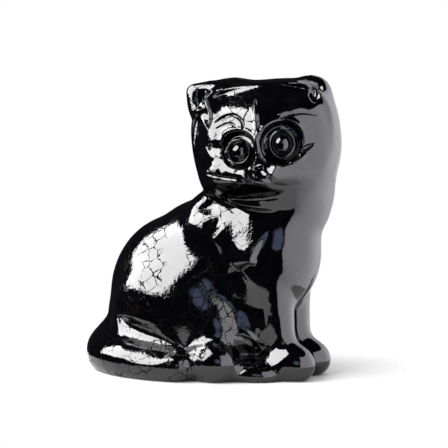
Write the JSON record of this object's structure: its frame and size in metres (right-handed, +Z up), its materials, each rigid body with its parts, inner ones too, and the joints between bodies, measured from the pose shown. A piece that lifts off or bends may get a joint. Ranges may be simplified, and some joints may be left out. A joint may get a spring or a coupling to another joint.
{
  "type": "ceramic cat figurine",
  "caption": "Sitting kitten figurine in glossy black glazed ceramic, head turned to its right, tail wrapped forward along that side.",
  "frame": {"origin": "centre of the footprint on the ground, under the plinth", "axes": "+Z up from the ground to the ears; the cat's chest faces -Y and its right side is -X"},
  "size_m": [0.0586, 0.0882, 0.1],
  "materials": {
    "glaze": "black gloss glaze"
  },
  "bodies": {
    "root": {"body_shell": "glaze", "head_shell": "glaze", "ear_right": "glaze", "ear_left": "glaze", "front_leg_right": "glaze", "front_leg_left": "glaze", "hind_paw_right": "glaze", "hind_paw_left": "glaze", "tail": "glaze", "plinth": "glaze", "eye_right": "glaze", "eye_left": "glaze", "nose": "glaze"}
  },
  "joints": []
}
